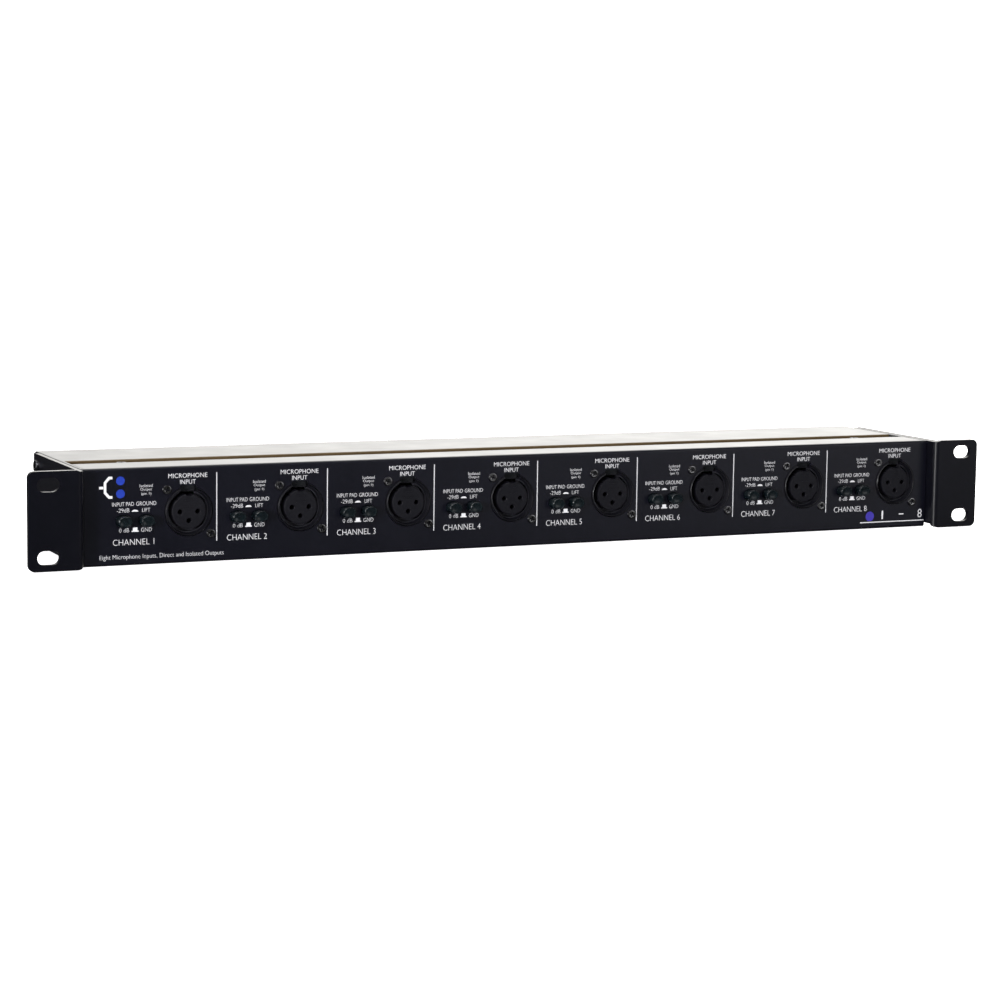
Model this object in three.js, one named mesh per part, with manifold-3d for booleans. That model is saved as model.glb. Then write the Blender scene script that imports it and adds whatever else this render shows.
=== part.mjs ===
// Eight-channel rack microphone splitter, one rack unit tall, in millimetres, +Z up.
// The front panel faces -Y. The origin is the middle of the overall box, on the underside.
import * as THREE from 'three';
import { mergeVertices } from 'three/addons/utils/BufferGeometryUtils.js';
import Module from 'manifold-3d';

const wasm = await Module();
wasm.setup();

// ---- driving dimensions -------------------------------------------------------------
const CHANNELS = 8;
const CASE_WIDTH = 432.8;        // front panel, between the rack ears
const CASE_HEIGHT = 43.2;
const CASE_DEPTH = 78.5;         // front panel to rear panel
const SHEET = 1.5;               // folded steel
const GAP = 0.3;                 // clearance between neighbouring pieces

const RACK_WIDTH = 482.6;        // 19 inch panel
const RACK_HOLE_X = 465.1;       // between slot centres, across
const RACK_HOLE_Z = 31.75;       // between slot centres, up
const SLOT_LENGTH = 10;
const SLOT_WIDTH = 6.8;
const EAR_HEIGHT = 43.6;
const EAR_THICKNESS = 2.7;
const EAR_PROUD = 7.6;           // ear face ahead of the front panel
const EAR_CORNER = 2.8;
const EAR_PLATE_LENGTH = 76.6;   // from the ear face back along the side wall
const EAR_PLATE_LOW = 1.9;
const EAR_PLATE_HIGH = 43.5;
const EAR_RELIEF = 3;            // length of the sloped corner where the face meets the plate

const FLANGE_DEPTH = 20.5;       // top of the front panel, folded back
const RECESS_DEPTH = 12;         // lowered strip between flange and cover, front to back
const RECESS_DROP = 1.8;
const LIP_TUCK = 5;              // cover lip under the flange

const CHANNEL_PITCH = 52.25;
const FIRST_XLR_X = -167.45;
const FIRST_BUTTON_X = -192.15;  // midway between a channel's two buttons
const BUTTON_SPACING = 10.3;
const BUTTON_Z = 19.75;
const XLR_Z = 22.85;

const BUTTON_WIDTH = 6.4;
const BUTTON_HEIGHT = 4.9;
const BUTTON_PROUD = 4.4;
const BUTTON_TRAVEL = 2.4;
const BUTTON_BODY = 5;           // cap inside the panel
const STEM = 2.2;
const STEM_LENGTH = 6;

const BARREL_RADIUS = 10.8;      // connector barrel through the panel
const BARREL_PROUD = 0.8;
const SOCKET_RADIUS = 9.4;       // inside the barrel
const INSERT_RADIUS = 7.8;
const SOCKET_DEPTH = 13;
const CONNECTOR_WIDTH = 25.4;
const CONNECTOR_HEIGHT = 26;
const INPUT_DEPTH = 20;
const OUTPUT_DEPTH = 18;
const CONTACT_SPREAD = 4.05;     // from the connector's middle to each contact
const CONTACT_HOLE = 1.25;
const PIN_RADIUS = 1.2;
const PIN_LENGTH = 11;
const ROUND_SIDES = 20;
const SMALL_SIDES = 8;

const LATCH_WIDTH = 7;
const LATCH_LOW = 8.7;           // above the connector's middle
const LATCH_HIGH = 11.5;
const LATCH_LENGTH = 5;
const LATCH_TRAVEL = 1.8;
const LATCH_CLEARANCE = 0.5;

const OUTPUTS = 2 * CHANNELS;
const OUTPUT_PITCH = CHANNEL_PITCH / 2;

const BOARD = 1.6;
const BOARD_WIDTH = 408;
const BOARD_LOW = 4;
const BOARD_HIGH = 38.6;
const SWITCH_WIDTH = 7;
const SWITCH_HEIGHT = 8;
const TRANSFORMER = { width: 24, height: 25, depth: 19 };
const HEADER_WIDTH = 16;
const HEADER_HEIGHT = 4;

const SCREW_HEAD = 3.4;          // side screws
const SCREW_HEAD_HEIGHT = 2.2;
const SCREW_SHANK = 1.5;
const SCREW_LENGTH = 8;
const SCREW_FROM_REAR = 16;
const SCREW_Z = 38;
const LIP_SCREW_HEAD = 2.75;
const LIP_SCREW_HEIGHT = 1.6;
const LIP_SCREW_LENGTH = 5;
const LIP_SCREW_X = 190.5;
const SCREW_TAB_LENGTH = 19;
const SCREW_TAB_HEIGHT = 9;

// ---- places worked out from them ----------------------------------------------------
const OVERALL_DEPTH = EAR_PROUD + CASE_DEPTH + BARREL_PROUD;
const FRONT_Y = EAR_PROUD - OVERALL_DEPTH / 2;
const REAR_Y = FRONT_Y + CASE_DEPTH;
const HALF_CASE = CASE_WIDTH / 2;
const INNER_HALF = HALF_CASE - SHEET - GAP;
const TOP_INSIDE = CASE_HEIGHT - SHEET;
const COVER_FRONT_Y = FRONT_Y + FLANGE_DEPTH + RECESS_DEPTH;
const LIP_TOP = CASE_HEIGHT - RECESS_DROP;
const INPUT_BACK_Y = FRONT_Y + SHEET + GAP + INPUT_DEPTH;
const OUTPUT_FRONT_Y = REAR_Y - SHEET - GAP - OUTPUT_DEPTH;
const FRONT_BOARD_Y = INPUT_BACK_Y + GAP;
const REAR_BOARD_Y = OUTPUT_FRONT_Y - GAP - BOARD;

// ---- materials ----------------------------------------------------------------------
const material = (name, color, roughness, metalness = 0) =>
  new THREE.MeshStandardMaterial({ name, color, roughness, metalness });
const powderCoat = material('powder_coat', 0x17181c, 0.42);
const connectorPlastic = material('connector_plastic', 0x141416, 0.5);
const buttonPlastic = material('button_plastic', 0x0e0e10, 0.3);
const screwSteel = material('screw_steel', 0x3a3a3e, 0.35, 0.9);
const boardGreen = material('circuit_board', 0x1e5a34, 0.6);

// ---- shapes -------------------------------------------------------------------------
const block = (x0, x1, y0, y1, z0, z1) =>
  new THREE.BoxGeometry(x1 - x0, y1 - y0, z1 - z0)
    .translate((x0 + x1) / 2, (y0 + y1) / 2, (z0 + z1) / 2);

const rodY = (radius, y0, y1, x = 0, z = 0, sides = ROUND_SIDES) =>
  new THREE.CylinderGeometry(radius, radius, y1 - y0, sides).translate(x, (y0 + y1) / 2, z);

const rodX = (radius, x0, x1, y = 0, z = 0, sides = ROUND_SIDES) =>
  new THREE.CylinderGeometry(radius, radius, x1 - x0, sides)
    .rotateZ(Math.PI / 2)
    .translate((x0 + x1) / 2, y, z);

// An outline drawn in X and Z, made solid from y0 to y1.
const prismY = (shape, y0, y1) =>
  new THREE.ExtrudeGeometry(shape, { depth: y1 - y0, bevelEnabled: false })
    .rotateX(Math.PI / 2)
    .translate(0, y1, 0);

// A slot with round ends: width across, height up.
function slotShape(width, height, steps = 5) {
  const radius = height / 2;
  const points = [1, -1].flatMap((side) =>
    Array.from({ length: steps + 1 }, (_, i) => {
      const angle = -side * Math.PI / 2 + Math.PI * i / steps;
      return new THREE.Vector2(
        side * (width / 2 - radius) + radius * Math.cos(angle), radius * Math.sin(angle));
    }));
  return new THREE.Shape(points);
}

// ---- solids -------------------------------------------------------------------------
function solid(geometry) {
  const bare = geometry.clone();
  bare.deleteAttribute('normal');
  bare.deleteAttribute('uv');
  const merged = mergeVertices(bare, 1e-4);
  return new wasm.Manifold(new wasm.Mesh({
    numProp: 3,
    vertProperties: new Float32Array(merged.attributes.position.array),
    triVerts: new Uint32Array(merged.index.array),
  }));
}

function join(...geometries) {
  return geometries.map(solid).reduce((whole, next) => whole.add(next));
}

function cut(whole, ...geometries) {
  return geometries.map(solid).reduce((rest, next) => rest.subtract(next), whole);
}

function geometryOf(body) {
  const mesh = body.getMesh();
  const geometry = new THREE.BufferGeometry();
  geometry.setAttribute('position', new THREE.BufferAttribute(mesh.vertProperties, 3));
  geometry.setIndex(new THREE.BufferAttribute(mesh.triVerts, 1));
  geometry.computeVertexNormals();
  return geometry;
}

const splitter = new THREE.Group();

function add(name, geometry, look, x = 0, y = 0, z = 0) {
  const mesh = new THREE.Mesh(geometry, look);
  mesh.name = name;
  mesh.position.set(x, y, z);
  splitter.add(mesh);
}

// ---- repeated places ----------------------------------------------------------------
const channels = Array.from({ length: CHANNELS }, (_, i) => i);
const xlrX = (i) => FIRST_XLR_X + CHANNEL_PITCH * i;
const buttonX = (i, side) => FIRST_BUTTON_X + CHANNEL_PITCH * i + side * BUTTON_SPACING / 2;
const outputX = (i) => (i - (OUTPUTS - 1) / 2) * OUTPUT_PITCH;
const outputs = Array.from({ length: OUTPUTS }, (_, i) => i);

// ---- chassis: front panel, top flange, floor and rear panel in one folded sheet ------
function chassis() {
  const tabTop = TOP_INSIDE - GAP;
  const tabLow = SCREW_Z - SCREW_TAB_HEIGHT / 2;
  const tabs = [-1, 1].map((side) => {
    const ends = [side * INNER_HALF, side * (INNER_HALF - SHEET)];
    return block(Math.min(...ends), Math.max(...ends),
      REAR_Y - SHEET - SCREW_TAB_LENGTH, REAR_Y - SHEET / 2, tabLow, tabTop);
  });
  const sheet = join(
    block(-HALF_CASE, HALF_CASE, FRONT_Y, FRONT_Y + SHEET, 0, CASE_HEIGHT),
    block(-INNER_HALF, INNER_HALF, FRONT_Y, FRONT_Y + FLANGE_DEPTH, TOP_INSIDE, CASE_HEIGHT),
    block(-INNER_HALF, INNER_HALF, FRONT_Y, REAR_Y, 0, SHEET),
    block(-INNER_HALF, INNER_HALF, REAR_Y - SHEET, REAR_Y, 0, TOP_INSIDE - GAP),
    ...tabs);
  const throughFront = [FRONT_Y - 1, FRONT_Y + SHEET + 1];
  const throughRear = [REAR_Y - SHEET - 1, REAR_Y + 1];
  const hole = BARREL_RADIUS + GAP;
  const notchHalf = LATCH_WIDTH / 2 + LATCH_CLEARANCE;
  const cuts = [];
  for (const i of channels) {
    cuts.push(rodY(hole, ...throughFront, xlrX(i), XLR_Z));
    cuts.push(block(xlrX(i) - notchHalf, xlrX(i) + notchHalf, ...throughFront,
      XLR_Z, XLR_Z + LATCH_HIGH + LATCH_CLEARANCE));
    for (const side of [-1, 1]) {
      cuts.push(prismY(slotShape(BUTTON_WIDTH + 2 * GAP, BUTTON_HEIGHT + 2 * GAP), ...throughFront)
        .translate(buttonX(i, side), 0, BUTTON_Z));
    }
  }
  for (const i of outputs) cuts.push(rodY(hole, ...throughRear, outputX(i), XLR_Z));
  cuts.push(rodX(SCREW_SHANK + GAP, -HALF_CASE, HALF_CASE, REAR_Y - SCREW_FROM_REAR, SCREW_Z,
    SMALL_SIDES));
  return geometryOf(cut(sheet, ...cuts));
}

// ---- cover: top, side walls and the lowered lip that tucks under the flange ----------
function topCover() {
  const lipFront = FRONT_Y + FLANGE_DEPTH - LIP_TUCK;
  const wallFront = FRONT_Y + SHEET + GAP;
  const walls = [-1, 1].map((side) => {
    const ends = [side * HALF_CASE, side * (HALF_CASE - SHEET)];
    return block(Math.min(...ends), Math.max(...ends), wallFront, REAR_Y, GAP, CASE_HEIGHT);
  });
  const body = join(
    block(-HALF_CASE, HALF_CASE, COVER_FRONT_Y, REAR_Y, TOP_INSIDE, CASE_HEIGHT),
    block(-HALF_CASE, HALF_CASE, COVER_FRONT_Y, COVER_FRONT_Y + SHEET, LIP_TOP - SHEET, CASE_HEIGHT),
    block(-HALF_CASE, HALF_CASE, lipFront, COVER_FRONT_Y + SHEET, LIP_TOP - SHEET, LIP_TOP),
    ...walls);
  const lipScrewY = COVER_FRONT_Y - RECESS_DEPTH / 2;
  const lipHoles = [-1, 1].map((side) =>
    new THREE.CylinderGeometry(SCREW_SHANK + GAP, SCREW_SHANK + GAP, 2 * CASE_HEIGHT, SMALL_SIDES)
      .rotateX(Math.PI / 2)
      .translate(side * LIP_SCREW_X, lipScrewY, 0));
  return geometryOf(cut(body, ...lipHoles,
    rodX(SCREW_SHANK + GAP, -RACK_WIDTH, RACK_WIDTH, REAR_Y - SCREW_FROM_REAR, SCREW_Z,
      SMALL_SIDES)));
}

// ---- rack ear: a face with two slots, bent back into a plate along the side wall ------
function rackEar(side) {
  const inner = HALF_CASE + GAP;
  const outer = RACK_WIDTH / 2;
  const low = GAP / 2;
  const high = low + EAR_HEIGHT;
  const face = new THREE.Shape();
  face.moveTo(side * inner, EAR_PLATE_LOW);
  face.lineTo(side * (inner + EAR_RELIEF), low);
  face.lineTo(side * (outer - EAR_CORNER), low);
  face.lineTo(side * outer, low + EAR_CORNER);
  face.lineTo(side * outer, high - EAR_CORNER);
  face.lineTo(side * (outer - EAR_CORNER), high);
  face.lineTo(side * inner, high);
  face.closePath();
  const frontY = FRONT_Y - EAR_PROUD;
  const ends = [side * inner, side * (inner + EAR_THICKNESS)];
  const plate = join(
    prismY(face, frontY, frontY + EAR_THICKNESS),
    block(Math.min(...ends), Math.max(...ends), frontY, frontY + EAR_PLATE_LENGTH,
      EAR_PLATE_LOW, EAR_PLATE_HIGH));
  const centre = (low + high) / 2;
  const slots = [-1, 1].map((up) =>
    prismY(slotShape(SLOT_LENGTH, SLOT_WIDTH, 8), frontY - 1, frontY + EAR_THICKNESS + 1)
      .translate(side * RACK_HOLE_X / 2, 0, centre + up * RACK_HOLE_Z / 2));
  return geometryOf(cut(plate, ...slots,
    rodX(SCREW_SHANK + GAP, -RACK_WIDTH, RACK_WIDTH, REAR_Y - SCREW_FROM_REAR, SCREW_Z,
      SMALL_SIDES)));
}

// ---- input connector: female, round barrel, insert with three contact holes ----------
function inputConnector() {
  const bodyFront = SHEET + GAP;
  const halfWidth = CONNECTOR_WIDTH / 2;
  const halfHeight = CONNECTOR_HEIGHT / 2;
  const latchHalf = LATCH_WIDTH / 2 + GAP;
  const body = join(
    block(-halfWidth, halfWidth, bodyFront, bodyFront + INPUT_DEPTH, -halfHeight, halfHeight),
    rodY(BARREL_RADIUS, -BARREL_PROUD, bodyFront + 1));
  const ring = cut(solid(rodY(SOCKET_RADIUS, -BARREL_PROUD - 1, SOCKET_DEPTH)),
    rodY(INSERT_RADIUS, -BARREL_PROUD - 2, SOCKET_DEPTH + 1));
  const contacts = [[-CONTACT_SPREAD, 0], [CONTACT_SPREAD, 0], [0, -CONTACT_SPREAD]];
  return geometryOf(cut(body.subtract(ring),
    ...contacts.map(([x, z]) =>
      rodY(CONTACT_HOLE, -BARREL_PROUD - 1, SOCKET_DEPTH, x, z, SMALL_SIDES)),
    block(-latchHalf, latchHalf, -BARREL_PROUD - 1, LATCH_LENGTH + LATCH_TRAVEL + 1,
      LATCH_LOW - GAP, LATCH_HIGH + GAP)));
}

// ---- latch tab: pressed in to free the plug -------------------------------------------
function latchTab() {
  return block(-LATCH_WIDTH / 2, LATCH_WIDTH / 2, 0, LATCH_LENGTH, LATCH_LOW, LATCH_HIGH);
}

// ---- output connector: male, round cup with three pins, facing +Y ---------------------
function outputConnector() {
  const bodyRear = -SHEET - GAP;
  const halfWidth = CONNECTOR_WIDTH / 2;
  const halfHeight = CONNECTOR_HEIGHT / 2;
  const floorY = BARREL_PROUD - SOCKET_DEPTH;
  const body = join(
    block(-halfWidth, halfWidth, bodyRear - OUTPUT_DEPTH, bodyRear, -halfHeight, halfHeight),
    rodY(BARREL_RADIUS, bodyRear - 1, BARREL_PROUD));
  const cup = cut(body, rodY(SOCKET_RADIUS, floorY, BARREL_PROUD + 1));
  const pins = [[-CONTACT_SPREAD, 0], [CONTACT_SPREAD, 0], [0, -CONTACT_SPREAD]];
  return geometryOf(pins
    .map(([x, z]) => solid(rodY(PIN_RADIUS, floorY - 1, floorY + PIN_LENGTH, x, z, SMALL_SIDES)))
    .reduce((whole, pin) => whole.add(pin), cup));
}

// ---- push button: oval cap with the stem that works the switch ------------------------
function pushButton() {
  return geometryOf(join(
    prismY(slotShape(BUTTON_WIDTH, BUTTON_HEIGHT), -BUTTON_PROUD, BUTTON_BODY),
    block(-STEM / 2, STEM / 2, BUTTON_BODY - 1, BUTTON_BODY + STEM_LENGTH, -STEM / 2, STEM / 2)));
}

// ---- front board: switches on the board that the input connectors are soldered to -----
function frontBoard() {
  const switchFront = FRONT_Y + BUTTON_BODY + BUTTON_TRAVEL + 2 * GAP;
  const stemEnd = FRONT_Y + BUTTON_BODY + STEM_LENGTH + BUTTON_TRAVEL + 2 * GAP;
  const plate = block(-BOARD_WIDTH / 2, BOARD_WIDTH / 2, FRONT_BOARD_Y, FRONT_BOARD_Y + BOARD,
    BOARD_LOW, BOARD_HIGH);
  const places = channels.flatMap((i) => [buttonX(i, -1), buttonX(i, 1)]);
  const halfHole = STEM / 2 + GAP;
  return geometryOf(cut(
    join(plate, ...places.map((x) => block(x - SWITCH_WIDTH / 2, x + SWITCH_WIDTH / 2,
      switchFront, FRONT_BOARD_Y + BOARD / 2,
      BUTTON_Z - SWITCH_HEIGHT / 2, BUTTON_Z + SWITCH_HEIGHT / 2))),
    ...places.map((x) => block(x - halfHole, x + halfHole, switchFront - 1, stemEnd,
      BUTTON_Z - halfHole, BUTTON_Z + halfHole))));
}

// ---- rear board: one isolation transformer for each channel, and the linking headers --
function rearBoard() {
  const { width, height, depth } = TRANSFORMER;
  const middle = (BOARD_LOW + BOARD_HIGH) / 2;
  const headerFront = FRONT_BOARD_Y + BOARD + GAP;
  return geometryOf(join(
    block(-BOARD_WIDTH / 2, BOARD_WIDTH / 2, REAR_BOARD_Y, REAR_BOARD_Y + BOARD,
      BOARD_LOW, BOARD_HIGH),
    ...channels.map((i) => block(xlrX(i) - width / 2, xlrX(i) + width / 2,
      REAR_BOARD_Y - depth, REAR_BOARD_Y + BOARD / 2, middle - height / 2, middle + height / 2)),
    ...channels.map((i) => {
      const x = (buttonX(i, -1) + buttonX(i, 1)) / 2;
      return block(x - HEADER_WIDTH / 2, x + HEADER_WIDTH / 2, headerFront,
        REAR_BOARD_Y + BOARD / 2, BOARD_LOW + 1, BOARD_LOW + 1 + HEADER_HEIGHT);
    })));
}

// ---- screw: domed head and shank, head towards +Z -------------------------------------
function screw(headRadius, headHeight, length) {
  const outline = [
    new THREE.Vector2(0, -length),
    new THREE.Vector2(SCREW_SHANK, -length),
    new THREE.Vector2(SCREW_SHANK, 0),
    new THREE.Vector2(headRadius, 0),
    new THREE.Vector2(headRadius * 0.92, headHeight * 0.6),
    new THREE.Vector2(0, headHeight),
  ];
  return new THREE.LatheGeometry(outline, 12).rotateX(Math.PI / 2);
}

// ---- assembly -------------------------------------------------------------------------
add('chassis', chassis(), powderCoat);
add('top_cover', topCover(), powderCoat);
add('rack_ear_left', rackEar(-1), powderCoat);
add('rack_ear_right', rackEar(1), powderCoat);
add('front_board', frontBoard(), boardGreen);
add('rear_board', rearBoard(), boardGreen);

for (const i of channels) {
  const number = i + 1;
  add(`input_connector_${number}`, inputConnector(), connectorPlastic, xlrX(i), FRONT_Y, XLR_Z);
  add(`latch_tab_${number}`, latchTab(), connectorPlastic, xlrX(i), FRONT_Y, XLR_Z);
  add(`pad_button_${number}`, pushButton(), buttonPlastic, buttonX(i, -1), FRONT_Y, BUTTON_Z);
  add(`lift_button_${number}`, pushButton(), buttonPlastic, buttonX(i, 1), FRONT_Y, BUTTON_Z);
}

for (const i of outputs) {
  const kind = i % 2 ? 'isolated' : 'direct';
  const name = `${kind}_output_${Math.floor(i / 2) + 1}`;
  add(name, outputConnector(), connectorPlastic, outputX(i), REAR_Y, XLR_Z);
}

for (const [side, word] of [[-1, 'left'], [1, 'right']]) {
  const sideScrew = screw(SCREW_HEAD, SCREW_HEAD_HEIGHT, SCREW_LENGTH);
  add(`side_screw_${word}`, sideScrew.rotateY(side * Math.PI / 2), screwSteel,
    side * (HALF_CASE + EAR_THICKNESS + 2 * GAP), REAR_Y - SCREW_FROM_REAR, SCREW_Z);
  const coverScrew = screw(LIP_SCREW_HEAD, LIP_SCREW_HEIGHT, LIP_SCREW_LENGTH);
  add(`cover_screw_${word}`, coverScrew, screwSteel,
    side * LIP_SCREW_X, COVER_FRONT_Y - RECESS_DEPTH / 2, LIP_TOP + GAP);
}

export default splitter;
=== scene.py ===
"""Looks of an eight-channel rack microphone splitter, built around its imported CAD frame."""
import math

import bmesh
import bpy
from mathutils import Matrix, Vector


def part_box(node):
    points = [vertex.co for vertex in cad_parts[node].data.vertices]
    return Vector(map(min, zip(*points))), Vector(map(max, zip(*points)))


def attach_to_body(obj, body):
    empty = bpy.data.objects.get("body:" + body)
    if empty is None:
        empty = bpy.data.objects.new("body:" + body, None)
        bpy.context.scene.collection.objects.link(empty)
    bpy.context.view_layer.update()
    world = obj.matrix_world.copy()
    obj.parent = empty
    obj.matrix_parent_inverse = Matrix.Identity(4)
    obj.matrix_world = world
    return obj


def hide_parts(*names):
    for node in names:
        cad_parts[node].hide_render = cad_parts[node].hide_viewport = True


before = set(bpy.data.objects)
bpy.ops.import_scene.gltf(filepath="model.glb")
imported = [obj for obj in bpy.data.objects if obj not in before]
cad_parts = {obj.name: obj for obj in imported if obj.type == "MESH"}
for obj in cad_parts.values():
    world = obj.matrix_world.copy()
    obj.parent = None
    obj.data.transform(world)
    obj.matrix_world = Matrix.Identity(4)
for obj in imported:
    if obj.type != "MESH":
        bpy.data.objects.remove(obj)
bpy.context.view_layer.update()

# ---- places from the frame, in metres ----------------------------------------------------------
MM = 0.001
CHANNELS = 8
ROOT = "case"


def middle(node):
    low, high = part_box(node)
    return (low + high) / 2


case_low, case_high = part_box("chassis")
FRONT_Y = case_low.y
REAR_Y = case_high.y
CASE_TOP = case_high.z
HALF_CASE = case_high.x
PITCH = (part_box("latch_tab_8")[0].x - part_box("latch_tab_1")[0].x) / (CHANNELS - 1)
CONNECTOR_X = [middle(f"latch_tab_{i + 1}").x for i in range(CHANNELS)]
CONNECTOR_Z = middle("input_connector_1").z
OUTPUT_NODES = [f"{kind}_output_{i + 1}" for i in range(CHANNELS) for kind in ("direct", "isolated")]


# ---- sizes that the frame's boxes don't give, in metres ----------------------------------------
SHEET = 1.5 * MM
GAP = 0.3 * MM                      # play between two parts
FLANGE_DEPTH = 20.5 * MM
RECESS_DEPTH = 12 * MM              # from the flange back to the cover's top
RECESS_DROP = 1.8 * MM
LIP_TOP = CASE_TOP - RECESS_DROP    # the recess's floor
LIP_TUCK = 5 * MM                   # how far the lip runs under the flange
COVER_FRONT_Y = FRONT_Y + FLANGE_DEPTH + RECESS_DEPTH

EAR_THICKNESS = 2.7 * MM
EAR_PLATE_LOW = 1.9 * MM
EAR_PLATE_HIGH = 43.15 * MM
EAR_CORNER = 2.8 * MM
EAR_RELIEF = 3.3 * MM               # width of the rounded cut at the foot of the bend
RACK_PITCH_X = 465.1 * MM
RACK_PITCH_Z = 31.75 * MM
RACK_SLOT = (10 * MM, 6.3 * MM)
SCREW_HOLE_RADIUS = 1.8 * MM        # through the ear plates and the cover's walls

BARREL_RADIUS = 10.8 * MM
BARREL_PROUD = 0.8 * MM
SOCKET_RADIUS = 9.4 * MM            # inside the barrel
SOCKET_DEPTH = 12 * MM
INSERT_RADIUS = 7.8 * MM
CONTACT_SPREAD = 4.05 * MM
FIXING_SPREAD = 10.1 * MM           # from a connector's middle to its screws, across and up
NOTCH_HALF = 4 * MM
NOTCH_TOP = 11.7 * MM               # above the connector's middle
LATCH_WAY_HALF = NOTCH_HALF - 0.15 * MM
LATCH_SET_BACK = 2.6 * MM

BUTTON_SIZE = (6.6 * MM, 5.0 * MM)
BUTTON_HOLE = (7.0 * MM, 5.5 * MM)

PRINT_Z = 21.95 * MM                # the legends' heights are counted from here
INK_PROUD = 0.05 * MM
INK_SUNK = 0.02 * MM
FRONT_INK = (FRONT_Y + INK_SUNK, FRONT_Y - INK_PROUD)
REAR_INK = (REAR_Y - INK_SUNK, REAR_Y + INK_PROUD)


# ---- camera ------------------------------------------------------------------------------------
CAMERA_AZIMUTH = math.radians(-24.168)
CAMERA_ELEVATION = math.radians(7.079)
CAMERA_LEAN = 0.0136                # radians
CAMERA_DISTANCE = 1.23735
CAMERA_TARGET = Vector((-16.77 * MM, FRONT_Y, PRINT_Z + 0.23 * MM))


def make_camera():
    """The long-lens view from the front left, slightly above, with the horizon leaning a little."""
    back = Vector((math.sin(CAMERA_AZIMUTH) * math.cos(CAMERA_ELEVATION),
                   -math.cos(CAMERA_AZIMUTH) * math.cos(CAMERA_ELEVATION),
                   math.sin(CAMERA_ELEVATION)))
    level = (-back).cross(Vector((0, 0, 1))).normalized()
    upright = level.cross(-back)
    across = math.cos(CAMERA_LEAN) * level + math.sin(CAMERA_LEAN) * upright
    up = -math.sin(CAMERA_LEAN) * level + math.cos(CAMERA_LEAN) * upright
    data = bpy.data.cameras.new("camera")
    data.sensor_width = 36
    data.lens = 95.81
    data.clip_start = 0.05
    data.clip_end = 50
    camera = bpy.data.objects.new("camera", data)
    bpy.context.scene.collection.objects.link(camera)
    turn = Matrix((across, up, back)).transposed().to_4x4()
    camera.matrix_world = Matrix.Translation(CAMERA_TARGET + back * CAMERA_DISTANCE) @ turn
    bpy.context.scene.camera = camera


# ---- outlines, as lists of (a, b) points -------------------------------------------------------
def arc(centre, radius, start, end, steps):
    """Points round a centre from one angle to another, in degrees."""
    angles = [math.radians(start + (end - start) * i / steps) for i in range(steps + 1)]
    return [(centre[0] + radius * math.cos(a), centre[1] + radius * math.sin(a)) for a in angles]


def circle(centre, radius, steps=48):
    return arc(centre, radius, 0, 360, steps)[:-1]


def slot_outline(centre, size, steps=12):
    """A slot with round ends, of a given width and height."""
    width, height = size
    radius = height / 2
    reach = width / 2 - radius
    return (arc((centre[0] + reach, centre[1]), radius, -90, 90, steps)
            + arc((centre[0] - reach, centre[1]), radius, 90, 270, steps))


def oval(centre, size, steps=40, fullness=2.4):
    """A soft oval of a given width and height, a little fuller than an ellipse."""
    power = 2 / fullness
    points = []
    for i in range(steps):
        a = 2 * math.pi * i / steps
        c, s = math.cos(a), math.sin(a)
        points.append((centre[0] + size[0] / 2 * math.copysign(abs(c) ** power, c),
                       centre[1] + size[1] / 2 * math.copysign(abs(s) ** power, s)))
    return points


def box_outline(a0, a1, b0, b1, radius=0.0, steps=6):
    """A rectangle, with round corners where a radius is given."""
    if not radius:
        return [(a0, b0), (a1, b0), (a1, b1), (a0, b1)]
    return (arc((a1 - radius, b0 + radius), radius, -90, 0, steps)
            + arc((a1 - radius, b1 - radius), radius, 0, 90, steps)
            + arc((a0 + radius, b1 - radius), radius, 90, 180, steps)
            + arc((a0 + radius, b0 + radius), radius, 180, 270, steps))


def notched_circle(centre, radius, half, top, corner=0.8 * MM, steps=56):
    """A round hole with a straight-sided notch at its top."""
    spread = math.degrees(math.asin(half / radius))
    x, z = centre
    return (arc(centre, radius, 90 + spread, 450 - spread, steps)
            + arc((x + half - corner, z + top - corner), corner, 0, 90, 4)
            + arc((x - half + corner, z + top - corner), corner, 90, 180, 4))


def quarter_ellipse(start, end, steps=6):
    """A quarter that leaves its start upright and reaches its end level."""
    angles = [math.radians(90 * i / steps) for i in range(steps + 1)]
    return [(end[0] + (start[0] - end[0]) * math.cos(a), start[1] + (end[1] - start[1]) * math.sin(a))
            for a in angles]


def folded(path, thickness, inner_radius, outer_radius, steps=6):
    """The section of a sheet bent along a path of corners.

    The path is one skin of the sheet, and the other skin lies to its left.
    """
    def left(a, b):
        d = Vector((b[0] - a[0], b[1] - a[1])).normalized()
        return d, Vector((-d.y, d.x))

    normal = left(path[0], path[1])[1]
    near = [tuple(path[0])]
    far = [tuple(Vector(path[0]) + normal * thickness)]
    for before, corner, after in zip(path, path[1:], path[2:]):
        d0, n0 = left(before, corner)
        d1, n1 = left(corner, after)
        turn = math.degrees(math.atan2(d0.x * d1.y - d0.y * d1.x, d0.dot(d1)))
        side = 1 if turn > 0 else -1
        start = math.degrees(math.atan2(-side * n0.y, -side * n0.x))
        across = (n0 + n1) / (1 + n0.dot(n1)) * thickness
        radii = (outer_radius, inner_radius) if side > 0 else (inner_radius, outer_radius)
        for skin, at, radius in ((near, Vector(corner), radii[0]),
                                 (far, Vector(corner) + across, radii[1])):
            centre = (at - d0 * radius * math.tan(math.radians(abs(turn) / 2))
                      + side * n0 * radius)
            skin += arc(centre, radius, start, start + turn, steps)
    normal = left(path[-2], path[-1])[1]
    near.append(tuple(path[-1]))
    far.append(tuple(Vector(path[-1]) + normal * thickness))
    return near + far[::-1]


# ---- meshes ------------------------------------------------------------------------------------
PLANES = {
    "XZ": lambda a, b, c: (a, c, b),
    "YZ": lambda a, b, c: (c, a, b),
    "XY": lambda a, b, c: (a, b, c),
}


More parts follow.
